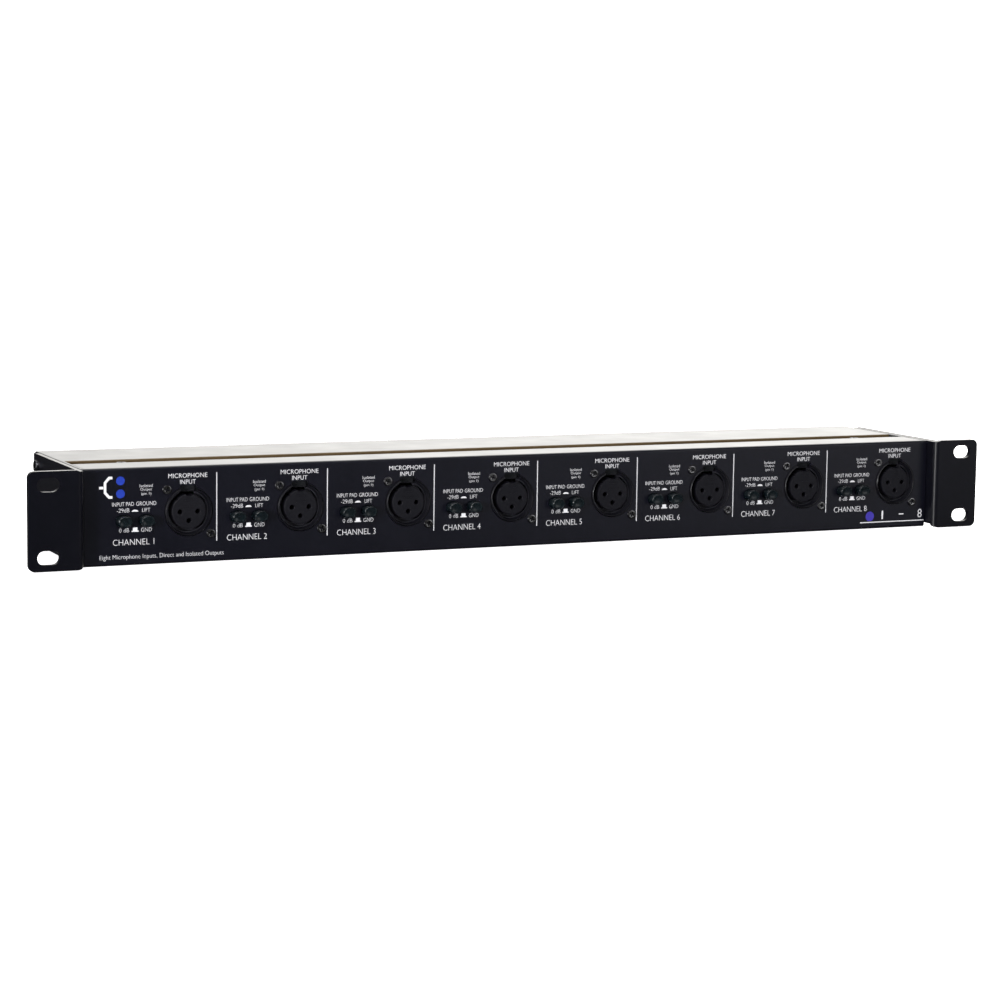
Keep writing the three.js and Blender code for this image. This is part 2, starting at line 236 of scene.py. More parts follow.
def bm_prism(bm, outline, low, high, plane="XZ"):
    """Adds the closed prism on an outline, between two places along the third axis."""
    to_xyz = PLANES[plane]
    near = [bm.verts.new(to_xyz(a, b, low)) for a, b in outline]
    far = [bm.verts.new(to_xyz(a, b, high)) for a, b in outline]
    faces = [bm.faces.new(near), bm.faces.new(far)]
    for i in range(len(outline)):
        j = (i + 1) % len(outline)
        faces.append(bm.faces.new((near[i], near[j], far[j], far[i])))
    bmesh.ops.recalc_face_normals(bm, faces=faces)


def bm_turned(bm, profile, centre, axis="Y", steps=48):
    """Adds a solid of revolution.

    The profile is (radius, place along the axis). Radius 0 closes an end, and a profile that
    starts off the axis is a closed ring.
    """
    rings = []
    for radius, along in profile:
        ring = []
        for i in range(steps if radius > 0 else 1):
            a = 2 * math.pi * (i + 0.5) / steps
            u, v = radius * math.cos(a), radius * math.sin(a)
            point = {"Y": (u, along, v), "Z": (u, v, along)}[axis]
            ring.append(bm.verts.new(Vector(centre) + Vector(point)))
        rings.append(ring)
    pairs = list(zip(rings, rings[1:]))
    if profile[0][0] > 0:
        pairs.append((rings[-1], rings[0]))
    faces = []
    for one, two in pairs:
        for i in range(steps):
            j = (i + 1) % steps
            corners = [one[i % len(one)], one[j % len(one)], two[j % len(two)], two[i % len(two)]]
            unique = list(dict.fromkeys(corners))
            if len(unique) > 2:
                faces.append(bm.faces.new(unique))
    bmesh.ops.recalc_face_normals(bm, faces=faces)


def new_object(name, bm):
    mesh = bpy.data.meshes.new(name)
    bm.to_mesh(mesh)
    bm.free()
    thing = bpy.data.objects.new(name, mesh)
    bpy.context.scene.collection.objects.link(thing)
    return thing


def prism(name, outline, low, high, plane="XZ"):
    bm = bmesh.new()
    bm_prism(bm, outline, low, high, plane)
    return new_object(name, bm)


def turned(name, profile, axis="Y", steps=48):
    bm = bmesh.new()
    bm_turned(bm, profile, (0, 0, 0), axis, steps)
    return new_object(name, bm)


def apply_modifiers(thing):
    evaluated = thing.evaluated_get(bpy.context.evaluated_depsgraph_get())
    mesh = bpy.data.meshes.new_from_object(evaluated)
    thing.modifiers.clear()
    thing.data = mesh


def boolean(thing, cutter, operation="DIFFERENCE"):
    """Cuts with another object, which is used up, or keeps what the two share."""
    step = thing.modifiers.new("cut", "BOOLEAN")
    step.object = cutter
    step.operation = operation
    step.solver = "EXACT"
    apply_modifiers(thing)
    bpy.data.objects.remove(cutter)


def soften(thing, width, segments=2, angle=40):
    """Rounds the sharp edges."""
    bm = bmesh.new()
    bm.from_mesh(thing.data)
    bmesh.ops.remove_doubles(bm, verts=bm.verts, dist=1e-7)
    sharp = [e for e in bm.edges
             if len(e.link_faces) == 2 and e.calc_face_angle(0) > math.radians(angle)]
    bmesh.ops.bevel(bm, geom=sharp, offset=width, offset_type="OFFSET", segments=segments,
                    profile=0.5, affect="EDGES", clamp_overlap=True)
    bm.to_mesh(thing.data)
    bm.free()


def shade(thing, angle=35):
    """Smooth shading, with edges sharper than the angle kept crisp."""
    thing.data.shade_smooth()
    thing.data.set_sharp_from_angle(angle=math.radians(angle))
    thing.modifiers.new("normals", "WEIGHTED_NORMAL").keep_sharp = True


# ---- pieces ------------------------------------------------------------------------------------
def attach(thing, body, replaces):
    """Gives a piece its body, and hides the frame's nodes that it stands for."""
    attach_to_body(thing, body)
    if replaces:
        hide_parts(*replaces)
    return thing


def place(thing, name, material, replaces=()):
    """Makes a finished piece part of the fixed body."""
    thing.name = name
    thing.data.materials.clear()
    thing.data.materials.append(material)
    return attach(thing, ROOT, replaces)


def copy_to(pattern, name, offset, body, replaces=(), turn=None):
    """A copy of a pattern piece at another place, with its own mesh, turned first where asked."""
    thing = pattern.copy()
    thing.data = pattern.data.copy()
    if turn is not None:
        thing.data.transform(turn)
    thing.data.transform(Matrix.Translation(offset))
    thing.name = name
    bpy.context.scene.collection.objects.link(thing)
    return attach(thing, body, replaces)


def remove_patterns(*patterns):
    for pattern in patterns:
        bpy.data.objects.remove(pattern)


# ---- materials ---------------------------------------------------------------------------------
CLOUD_SCALE = 60
GRAIN_HEIGHT = 0.05 * MM


def surface(name, colour, *, roughness, grain_mm, bump, mottle=0.25, metallic=0.0,
            rough_spread=0.08, specular=0.5):
    """A procedural finish: fine grain as bump, soft mottling of the colour and of the gloss."""
    material = bpy.data.materials.new(name)
    material.use_nodes = True
    nodes, links = material.node_tree.nodes, material.node_tree.links
    shader = nodes["Principled BSDF"]
    shader.inputs["Metallic"].default_value = metallic
    shader.inputs["Specular IOR Level"].default_value = specular
    where = nodes.new("ShaderNodeTexCoord")

    cloud = nodes.new("ShaderNodeTexNoise")
    cloud.inputs["Scale"].default_value = CLOUD_SCALE
    cloud.inputs["Detail"].default_value = 5
    links.new(where.outputs["Object"], cloud.inputs["Vector"])

    tint = nodes.new("ShaderNodeMix")
    tint.data_type = "RGBA"
    darker = [c * (1 - mottle) for c in colour]
    lighter = [min(1, c * (1 + mottle)) for c in colour]
    tint.inputs["A"].default_value = (*darker, 1)
    tint.inputs["B"].default_value = (*lighter, 1)
    links.new(cloud.outputs["Fac"], tint.inputs["Factor"])
    links.new(tint.outputs["Result"], shader.inputs["Base Color"])

    gloss = nodes.new("ShaderNodeMapRange")
    gloss.inputs["From Min"].default_value = 0.3
    gloss.inputs["From Max"].default_value = 0.7
    gloss.inputs["To Min"].default_value = roughness - rough_spread
    gloss.inputs["To Max"].default_value = roughness + rough_spread
    links.new(cloud.outputs["Fac"], gloss.inputs["Value"])
    links.new(gloss.outputs["Result"], shader.inputs["Roughness"])

    grain = nodes.new("ShaderNodeTexNoise")
    grain.inputs["Scale"].default_value = 1 / (grain_mm * MM)
    grain.inputs["Detail"].default_value = 3
    links.new(where.outputs["Object"], grain.inputs["Vector"])
    relief = nodes.new("ShaderNodeBump")
    relief.inputs["Strength"].default_value = bump
    relief.inputs["Distance"].default_value = GRAIN_HEIGHT
    links.new(grain.outputs["Fac"], relief.inputs["Height"])
    links.new(relief.outputs["Normal"], shader.inputs["Normal"])
    return material


COAT = {"grain_mm": 0.5, "bump": 0.12, "rough_spread": 0.02}
POWDER = surface("powder_coat_black", (0.0018, 0.0019, 0.0056), roughness=0.34, **COAT)
# The ears' coat is the case's black paint made darker and less glossy: painted shade on the ears.
EAR_SHADED_COAT = surface("ear_coat_painted_shade", (0.0012, 0.0013, 0.0036), roughness=0.34, specular=0.34, **COAT)
# The cover's step is black-painted sheet like the cover; its warm brown is painted shade in the
# groove behind the flange.
GROOVE_SHADE_PAINT = surface("step_painted_groove_shade", (0.092, 0.058, 0.023), roughness=0.45, **COAT)

SHELL = surface("moulded_shell_black", (0.003, 0.003, 0.005), roughness=0.4, grain_mm=0.4,
                bump=0.1, specular=0.4)
INSERT = surface("moulded_insert_black", (0.0035, 0.0035, 0.0060), roughness=0.5, grain_mm=0.25,
                 bump=0.25, specular=0.26)
# The lining is the shell's black plastic, lifted well above the shell's black: painted light in the
# socket's shade.
LINING_PAINTED_LIGHT = surface("socket_lining_painted_light", (0.024, 0.024, 0.032), roughness=0.6, grain_mm=0.4,
                 bump=0.2, specular=0.3)
# The latch and its hood are black plastic, lifted above the shell's black: painted light in the
# notch's shade.
LATCH_PAINTED_LIGHT = surface("latch_painted_light", (0.009, 0.010, 0.012), roughness=0.6, grain_mm=0.4, bump=0.1,
                specular=0.16)
BUTTON = surface("button_black", (0.002, 0.0045, 0.006), roughness=0.24, grain_mm=0.5, bump=0.02,
                 rough_spread=0.02)

SCREW = surface("black_screw", (0.26, 0.26, 0.27), roughness=0.24, grain_mm=0.3, bump=0.15,
                metallic=1.0)
DARK_SCREW = surface("oiled_screw", (0.050, 0.050, 0.054), roughness=0.34, grain_mm=0.3, bump=0.15,
                     metallic=1.0)
PIN = surface("silver_contact", (0.72, 0.70, 0.66), roughness=0.22, grain_mm=0.3, bump=0.1,
              metallic=1.0)
BOARD = surface("solder_mask_green", (0.012, 0.09, 0.03), roughness=0.35, grain_mm=0.5, bump=0.2)

PRINT = {"roughness": 0.5, "grain_mm": 0.2, "bump": 0.15}
INK = surface("white_print", (0.52, 0.52, 0.54), mottle=0.03, specular=0.2, **PRINT)
GREY_INK = surface("divider_print", (0.42, 0.42, 0.44), mottle=0.03, specular=0.2, **PRINT)
BLUE_INK = surface("blue_print", (0.008, 0.026, 0.24), mottle=0.06, specular=0.15, **PRINT)
VIOLET_INK = surface("violet_print", (0.034, 0.024, 0.24), mottle=0.06, specular=0.15, **PRINT)


# ---- case --------------------------------------------------------------------------------------
def case_cutters():
    """The panels' holes, and a strip off each side of all that lies behind the front panel."""
    cutters = bmesh.new()
    reach = 2 * SHEET
    hole = BARREL_RADIUS + GAP
    for i, x in enumerate(CONNECTOR_X):
        bm_prism(cutters, notched_circle((x, CONNECTOR_Z), hole, NOTCH_HALF, NOTCH_TOP),
                 FRONT_Y - reach, FRONT_Y + reach)
        for kind in ("pad", "lift"):
            at = middle(f"{kind}_button_{i + 1}")
            bm_prism(cutters, oval((at.x, at.z), BUTTON_HOLE), FRONT_Y - reach, FRONT_Y + reach)
    for node in OUTPUT_NODES:
        bm_prism(cutters, circle((middle(node).x, CONNECTOR_Z), hole), REAR_Y - reach, REAR_Y + reach)
    for side in (-1, 1):
        strip = sorted((side * (HALF_CASE - SHEET - GAP), side * (HALF_CASE + SHEET)))
        bm_prism(cutters, box_outline(*strip, FRONT_Y + SHEET, REAR_Y + SHEET), -SHEET,
                 CASE_TOP + SHEET, "XY")
    return new_object("cutters", cutters)


def make_chassis():
    """Front panel, top flange, floor and rear panel, folded from one sheet, with its holes."""
    section = folded([(FRONT_Y + FLANGE_DEPTH, CASE_TOP), (FRONT_Y, CASE_TOP), (FRONT_Y, 0),
                      (REAR_Y, 0), (REAR_Y, CASE_TOP - SHEET - GAP)],
                     SHEET, inner_radius=0.3 * MM, outer_radius=1.2 * MM)
    case = prism("chassis_sheet", section, -HALF_CASE, HALF_CASE, "YZ")
    boolean(case, case_cutters())
    soften(case, 0.18 * MM)
    shade(case)
    place(case, "chassis_sheet", POWDER, ["chassis"])


def screw_hole():
    """A cutter for the side screws, right across the case."""
    screw = middle("side_screw_left")
    return prism("screw_hole", circle((screw.y, screw.z), SCREW_HOLE_RADIUS, 24), -2 * HALF_CASE,
                 2 * HALF_CASE, "YZ")


def make_cover():
    """Top and side walls in one folded sheet, cut away in front, and its lowered lip."""
    wall_front = FRONT_Y + SHEET + GAP
    section = folded([(HALF_CASE, GAP), (HALF_CASE, CASE_TOP), (-HALF_CASE, CASE_TOP),
                      (-HALF_CASE, GAP)], SHEET, inner_radius=0.3 * MM, outer_radius=0.8 * MM)
    cover = prism("cover_sheet", section, wall_front, REAR_Y)
    bend = HALF_CASE - SHEET - 0.1 * MM
    opening = box_outline(-bend, bend, wall_front - SHEET, COVER_FRONT_Y + SHEET)
    boolean(cover, prism("opening", opening, CASE_TOP / 2, CASE_TOP + SHEET, "XY"))
    boolean(cover, screw_hole())
    soften(cover, 0.15 * MM)
    shade(cover)
    place(cover, "cover_sheet", POWDER, ["top_cover"])

    step = folded([(COVER_FRONT_Y + SHEET, CASE_TOP), (COVER_FRONT_Y, CASE_TOP),
                   (COVER_FRONT_Y, LIP_TOP - SHEET)],
                  SHEET, inner_radius=0.15 * MM, outer_radius=0.6 * MM)
    lip = box_outline(FRONT_Y + FLANGE_DEPTH - LIP_TUCK, COVER_FRONT_Y, LIP_TOP - SHEET, LIP_TOP)
    # The step's brown is painted shade in the groove; the lip keeps the powder coat.
    for name, section, material in (("cover_step", step, GROOVE_SHADE_PAINT), ("cover_lip", lip, POWDER)):
        piece = prism(name, section, -bend, bend, "YZ")
        soften(piece, 0.1 * MM)
        shade(piece)
        place(piece, name, material)


def ear_section(inner, outer, low_y, high_y):
    """The ear from above: its face, then a round bend back into the plate."""
    plate = inner + EAR_THICKNESS
    face_back = low_y + EAR_THICKNESS
    bend = EAR_THICKNESS - 0.1 * MM
    return ([(outer, low_y), (outer, face_back), (plate, face_back), (plate, high_y),
             (inner, high_y)] + arc((inner + bend, low_y + bend), bend, 180, 270, 10))


def ear_front(inner, outer, low_z, high_z):
    """The ear from the front: round outer corners, and a plate that is a little less high."""
    shoulder = inner + EAR_RELIEF
    return ([(inner - SHEET, EAR_PLATE_LOW)]
            + quarter_ellipse((inner, EAR_PLATE_LOW), (shoulder, low_z))
            + arc((outer - EAR_CORNER, low_z + EAR_CORNER), EAR_CORNER, -90, 0, 8)
            + arc((outer - EAR_CORNER, high_z - EAR_CORNER), EAR_CORNER, 0, 90, 8)
            + [(shoulder, high_z), (inner + EAR_RELIEF / 2, EAR_PLATE_HIGH),
               (inner - SHEET, EAR_PLATE_HIGH)])


def make_ear(side, word):
    """A slotted face, bent back into a long plate along the side wall."""
    low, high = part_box(f"rack_ear_{word}")
    inner = HALF_CASE + GAP
    outer = high.x if side > 0 else -low.x
    face_back = low.y + EAR_THICKNESS
    section = [(side * x, y) for x, y in ear_section(inner, outer, low.y, high.y)]
    ear = prism(f"ear_{word}", section, low.z, high.z, "XY")
    slots = bmesh.new()
    for up in (-1, 1):
        at = (side * RACK_PITCH_X / 2, (low.z + high.z) / 2 + up * RACK_PITCH_Z / 2)
        bm_prism(slots, slot_outline(at, RACK_SLOT), low.y - SHEET, face_back + SHEET)
    boolean(ear, new_object("slots", slots))
    front = [(side * x, z) for x, z in ear_front(inner, outer, low.z, high.z)]
    boolean(ear, prism("front", front, low.y - SHEET, high.y + SHEET), "INTERSECT")
    under = sorted((side * (inner - SHEET), side * (inner + EAR_THICKNESS + SHEET)))
    boolean(ear, prism("under", box_outline(*under, -SHEET, EAR_PLATE_LOW), face_back,
                       high.y + SHEET))
    boolean(ear, screw_hole())
    soften(ear, 0.5 * MM, 3)
    shade(ear)
    # The ears take the darker copy of the powder coat, which is painted shade.
    place(ear, f"ear_{word}", EAR_SHADED_COAT, [f"rack_ear_{word}"])


# ---- fasteners ---------------------------------------------------------------------------------
def screw_pattern(name, radius, height, cross, material=SCREW):
    """A pan head with a cross recess, its seat at the origin and its head towards -Y."""
    skirt = 0.2 * MM
    dome = [(r * radius, -h * height)
            for r, h in ((0, 0.86), (0.55, 0.9), (0.76, 1), (0.9, 0.92), (0.98, 0.62), (1, 0.3))]
    head = turned(name, dome + [(radius, skirt), (0, skirt)], steps=32)
    half_width = 0.27 * cross
    recess_floor = 0.12 * MM
    tilt = 20
    for turn in (tilt, tilt + 90):
        bar = bmesh.new()
        bm_prism(bar, box_outline(-cross, cross, -half_width, half_width, 0.15 * cross, 3),
                 -2 * height, recess_floor)
        bmesh.ops.rotate(bar, verts=bar.verts, cent=(0, 0, 0),
                         matrix=Matrix.Rotation(math.radians(turn), 3, "Y"))
        boolean(head, new_object("bar", bar))
    shade(head, 30)
    head.data.materials.append(material)
    return head


def make_case_screws():
    """The screws of the ear plates, and those in the recess."""
    side_head = screw_pattern("side_head", radius=2.9 * MM, height=1.4 * MM, cross=1.6 * MM,
                              material=DARK_SCREW)
    lip_head = screw_pattern("lip_head", radius=2.4 * MM, height=1.25 * MM, cross=1.4 * MM,
                             material=DARK_SCREW)
    seat_x = HALF_CASE + EAR_THICKNESS + GAP + 0.1 * MM
    seat_z = LIP_TOP + 0.1 * MM
    for side, word in ((-1, "left"), (1, "right")):
        at = middle(f"side_screw_{word}")
        copy_to(side_head, f"side_screw_head_{word}", (side * seat_x, at.y, at.z), ROOT,
                [f"side_screw_{word}"], Matrix.Rotation(side * math.pi / 2, 4, "Z"))
        at = middle(f"cover_screw_{word}")
        copy_to(lip_head, f"cover_screw_head_{word}", (at.x, at.y, seat_z), ROOT,
                [f"cover_screw_{word}"], Matrix.Rotation(-math.pi / 2, 4, "X"))
    remove_patterns(side_head, lip_head)


def fixing_places():
    """The two screws of a connector, from its middle: upper left and lower right."""
    return [(word, Vector((side * FIXING_SPREAD, 0, -side * FIXING_SPREAD)))
            for side, word in ((-1, "upper"), (1, "lower"))]


# ---- input connectors --------------------------------------------------------------------------
# The patterns are made about the connector's middle, with the panel's face at y 0.
def contact_places():
    return [(-CONTACT_SPREAD, 0), (CONTACT_SPREAD, 0), (0, -CONTACT_SPREAD)]


def latch_way():
    """A cutter for the latch's way through the top of a barrel."""
    return prism("latch_way", box_outline(-LATCH_WAY_HALF, LATCH_WAY_HALF, 5 * MM, 14 * MM),
                 -2 * MM, 9 * MM)


def shell_pattern():
    """The barrel, with a rounded rim proud of the panel."""
    rim = [(10.7 * MM, -0.55 * MM), (10.45 * MM, -BARREL_PROUD), (10.25 * MM, -BARREL_PROUD),
           (10.05 * MM, -0.55 * MM), (9.9 * MM, 0.5 * MM)]
    shell = turned("shell", [(BARREL_RADIUS, 2 * MM), (BARREL_RADIUS, -0.2 * MM)] + rim
                   + [(SOCKET_RADIUS, 1.2 * MM), (SOCKET_RADIUS, SOCKET_DEPTH),
                      (BARREL_RADIUS, SOCKET_DEPTH)], steps=72)
    boolean(shell, latch_way())
    shade(shell)
    shell.data.materials.append(SHELL)
    return shell


def insert_pattern():
    """The round face with its three contact holes, a key way, a small hole and two shallow marks."""
    face = -0.5 * MM
    insert = turned("insert", [
        (0, face), (INSERT_RADIUS - 0.45 * MM, face), (INSERT_RADIUS - 0.12 * MM, -0.33 * MM),
        (INSERT_RADIUS, 0), (INSERT_RADIUS, SOCKET_DEPTH), (0, SOCKET_DEPTH)], steps=64)
    front, floor = -2 * MM, 9 * MM
    cutters = bmesh.new()
    contact_hole = [(0, 8 * MM), (1.15 * MM, 8 * MM), (1.15 * MM, -0.4 * MM),
                    (1.65 * MM, -0.9 * MM), (0, -0.9 * MM)]
    for x, z in contact_places():
        bm_turned(cutters, contact_hole, (x, 0, z), steps=24)
    bm_prism(cutters, box_outline(-1.35 * MM, 1.35 * MM, 7.0 * MM, 9 * MM, 0.3 * MM), front, floor)
    bm_prism(cutters, circle((-5.75 * MM, 5.75 * MM), 0.75 * MM, 16), front, floor)
    for half, foot in ((2.3 * MM, 2.3 * MM), (2.0 * MM, 5.0 * MM)):
        bm_prism(cutters, box_outline(-half, half, foot, foot + MM, 0.3 * MM), front,
                 face + 0.15 * MM)
    boolean(insert, new_object("cutters", cutters))
    shade(insert)
    insert.data.materials.append(INSERT)
    return insert


def lining_pattern():
    """A sleeve inside the barrel, with a floor that closes the gap to the insert."""
    inner = INSERT_RADIUS + 0.1 * MM
    lip, outer = 9.15 * MM, 9.36 * MM
    lining = turned("lining", [(inner, 4.5 * MM), (lip, 4.5 * MM), (lip, 1.35 * MM),
                               (outer, 1.35 * MM), (outer, 5 * MM), (inner, 5 * MM)], steps=72)
    boolean(lining, latch_way())
    shade(lining)
    # Lighter than the shell, as painted light in the socket's shade.
    lining.data.materials.append(LINING_PAINTED_LIGHT)
    return lining


def hood_pattern():
    """A pocket behind the latch, so that the board doesn't show."""
    half = LATCH_WAY_HALF
    wall = 0.6 * MM
    hood = prism("hood", box_outline(-half - wall, half + wall, 9.6 * MM, 12.9 * MM),
                 1.7 * MM, SOCKET_DEPTH)
    pocket = box_outline(-half, half, 5 * MM, NOTCH_TOP + 0.2 * MM)
    boolean(hood, prism("pocket", pocket, 0, 9 * MM))
    # Lighter than the shell, as painted light in the notch's shade.
    hood.data.materials.append(LATCH_PAINTED_LIGHT)
    return hood


def latch_pattern():
    """The push tab, with three grooves for grip."""
    low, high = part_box("latch_tab_1")
    centre = Vector((CONNECTOR_X[0], FRONT_Y, CONNECTOR_Z))
    low, high = low - centre, high - centre
    low.y = max(low.y, LATCH_SET_BACK)
    high.z = min(high.z, NOTCH_TOP - GAP)
    tab = prism("latch", box_outline(low.x, high.x, low.z, high.z, 0.5 * MM), low.y, high.y)
    grooves = bmesh.new()
    for i in range(3):
        z = low.z + (0.7 + 0.7 * i) * MM
        bm_prism(grooves, box_outline(low.x + MM, high.x - MM, z - 0.12 * MM, z + 0.12 * MM),
                 low.y - MM, low.y + 0.25 * MM)
    boolean(tab, new_object("grooves", grooves))
    soften(tab, 0.12 * MM)
    shade(tab)
    # Lighter than the shell, as painted light in the notch's shade.
    tab.data.materials.append(LATCH_PAINTED_LIGHT)
    return tab


def make_inputs(screw):
    fixed = {"shell": shell_pattern(), "insert": insert_pattern(), "lining": lining_pattern(),
             "hood": hood_pattern()}
    latch = latch_pattern()
    for i, x in enumerate(CONNECTOR_X):
        number = i + 1
        at = Vector((x, FRONT_Y, CONNECTOR_Z))
        for word, piece in fixed.items():
            copy_to(piece, f"input_{word}_{number}", at, ROOT,
                    [f"input_connector_{number}"] if word == "shell" else ())
        copy_to(latch, f"push_tab_{number}", at, f"latch_tab_{number}",
                [f"latch_tab_{number}"])
        for word, offset in fixing_places():
            copy_to(screw, f"input_screw_{word}_{number}", at + offset, ROOT)
    remove_patterns(*fixed.values(), latch)


# ---- output connectors -------------------------------------------------------------------------
# The patterns are made about the connector's middle, with the rear panel's face at y 0.
def cup_pattern():
    floor, back = -12.2 * MM, -14 * MM
    cup = turned("cup", [
        (0, floor), (SOCKET_RADIUS, floor), (SOCKET_RADIUS, 0.3 * MM), (9.8 * MM, BARREL_PROUD),
        (BARREL_RADIUS - 0.25 * MM, BARREL_PROUD), (BARREL_RADIUS, 0.55 * MM),
        (BARREL_RADIUS, back), (0, back)], steps=64)
    shade(cup)
    cup.data.materials.append(SHELL)
    return cup


def key_pattern():
    """The ridge along the top of the cup."""
    key = prism("key", box_outline(-1.2 * MM, 1.2 * MM, 8.3 * MM, 9.8 * MM, 0.3 * MM), -12.5 * MM,
                -0.4 * MM)
    soften(key, 0.15 * MM)
    shade(key)
    key.data.materials.append(SHELL)
    return key


def pin_pattern():
    radius, root = 1.15 * MM, -12.6 * MM
    pin = turned("pin", [(0, -1.2 * MM), (0.5 * MM, -1.25 * MM), (0.95 * MM, -1.6 * MM),
                         (radius, -2.3 * MM), (radius, root), (0, root)], steps=24)
    shade(pin)
    pin.data.materials.append(PIN)
    return pin


def make_outputs(screw):
    cup, key, pin = cup_pattern(), key_pattern(), pin_pattern()
    about_face = Matrix.Rotation(math.pi, 4, "Z")
    for node in OUTPUT_NODES:
        at = Vector((middle(node).x, REAR_Y, CONNECTOR_Z))
        copy_to(cup, f"cup_{node}", at, ROOT, [node])
        copy_to(key, f"key_{node}", at, ROOT)
        for i, (x, z) in enumerate(contact_places()):
            copy_to(pin, f"pin_{i + 1}_{node}", at + Vector((x, 0, z)), ROOT)
        for word, offset in fixing_places():
            copy_to(screw, f"screw_{word}_{node}", at + offset, ROOT,
                    turn=about_face)
    remove_patterns(cup, key, pin)


# ---- buttons -----------------------------------------------------------------------------------
def button_pattern():
    """An oval cap, lofted from front to back, with a broad round rim and a slightly dished face."""
    # Each row is the oval's scale and its place along Y, in millimetres.
    rows = [(0.25, -4.02), (0.52, -4.08), (0.70, -4.25), (0.78, -4.38), (0.85, -4.34),
            (0.92, -4.08), (0.97, -3.62), (1.0, -2.9), (1.0, -0.5), (1.0, 5.0)]
    bm = bmesh.new()
    rings = []
    for scale, y in rows:
        size = (BUTTON_SIZE[0] * scale, BUTTON_SIZE[1] * scale)
        rings.append([bm.verts.new((a, y * MM, b)) for a, b in oval((0, 0), size, 48)])
    bm.faces.new(rings[0])
    bm.faces.new(rings[-1])
    for one, two in zip(rings, rings[1:]):
        for i in range(len(one)):
            j = (i + 1) % len(one)
            bm.faces.new((one[i], one[j], two[j], two[i]))
    stem = 1.1 * MM
    bm_prism(bm, box_outline(-stem, stem, -stem, stem), 4.5 * MM, 11 * MM)
    bmesh.ops.recalc_face_normals(bm, faces=bm.faces)
    cap = new_object("button", bm)
    shade(cap, 50)
    cap.data.materials.append(BUTTON)
    return cap


def make_buttons():
    cap = button_pattern()
    for i in range(CHANNELS):
        for kind in ("pad", "lift"):
            node = f"{kind}_button_{i + 1}"
            at = middle(node)
            copy_to(cap, f"{kind}_cap_{i + 1}", Vector((at.x, FRONT_Y, at.z)), node,
                    [node])
    remove_patterns(cap)


# ---- print -------------------------------------------------------------------------------------
# Its places are in millimetres: across from the case's middle, and up from PRINT_Z.
def legend(name, words, x0, x1, z0, z1, weight=-0.010, rear=False):
    """Words printed to fill a box on a panel. A negative weight thins the strokes."""
    data = bpy.data.curves.new(name, "FONT")
    data.body = words
    data.offset = weight
    data.resolution_u = 3
    data.extrude = 0.01
    source = bpy.data.objects.new(name, data)
    bpy.context.scene.collection.objects.link(source)
    bpy.context.view_layer.update()
    mesh = bpy.data.meshes.new_from_object(
        source.evaluated_get(bpy.context.evaluated_depsgraph_get()))
    bpy.data.objects.remove(source)
    low = [min(v.co[k] for v in mesh.vertices) for k in range(3)]
    high = [max(v.co[k] for v in mesh.vertices) for k in range(3)]
    sunk, proud = REAR_INK if rear else FRONT_INK
    start, end = (x1, x0) if rear else (x0, x1)
    for v in mesh.vertices:
        u, w, t = ((v.co[k] - low[k]) / (high[k] - low[k]) for k in range(3))
        v.co = Vector(((start + u * (end - start)) * MM, sunk + t * (proud - sunk),
                       PRINT_Z + (z0 + w * (z1 - z0)) * MM))
    printed = bpy.data.objects.new(name, mesh)
    bpy.context.scene.collection.objects.link(printed)
    return place(printed, name, INK)


def mark(name, outline, material=INK, rear=False):
    """A flat printed shape on a panel."""
    points = [(x * MM, PRINT_Z + z * MM) for x, z in outline]
    ink = REAR_INK if rear else FRONT_INK
    return place(prism(name, points, *sorted(ink)), name, material)


def stroke(path, width):
    """The outline of a line of even width along a path."""
    near, far = [], []
    for i, point in enumerate(path):
        here = Vector(point)
        before = (here - Vector(path[i - 1])).normalized() if i else None
        after = (Vector(path[i + 1]) - here).normalized() if i + 1 < len(path) else None
        along = ((before or after) + (after or before)).normalized()
        across = Vector((-along.y, along.x)) * width / 2 / along.dot(after or before)
        near.append(tuple(here + across))
        far.append(tuple(here - across))
    return near + far[::-1]


def print_divider(name, x, top, rear=False):
    """A thin upright line between two channels."""
    half = 0.26 if rear else 0.22
    foot = -12.65
    mark(name, box_outline(x - half, x + half, foot, top), GREY_INK, rear)


def print_button_signs(number, left, right):
    """The signs between the two buttons: pressed in above, standing out below."""
    centre, half = (left + right) / 2, (right - left) / 2
    bump = [(centre + half * 0.85 * math.cos(a), 2.0 + 0.65 * math.sin(a))
            for a in (math.radians(d) for d in range(0, 181, 20))]
    mark(f"print_pressed_{number}", [(left, 1.8), (right, 1.8)] + bump)
    top, step, brim = -5.2, -6.6, -7.1
    neck = 0.65 * half
    mark(f"print_released_{number}", [
        (left, brim), (right, brim), (right, step), (centre + neck, step), (centre + neck, top),
        (centre - neck, top), (centre - neck, step), (left, step)])


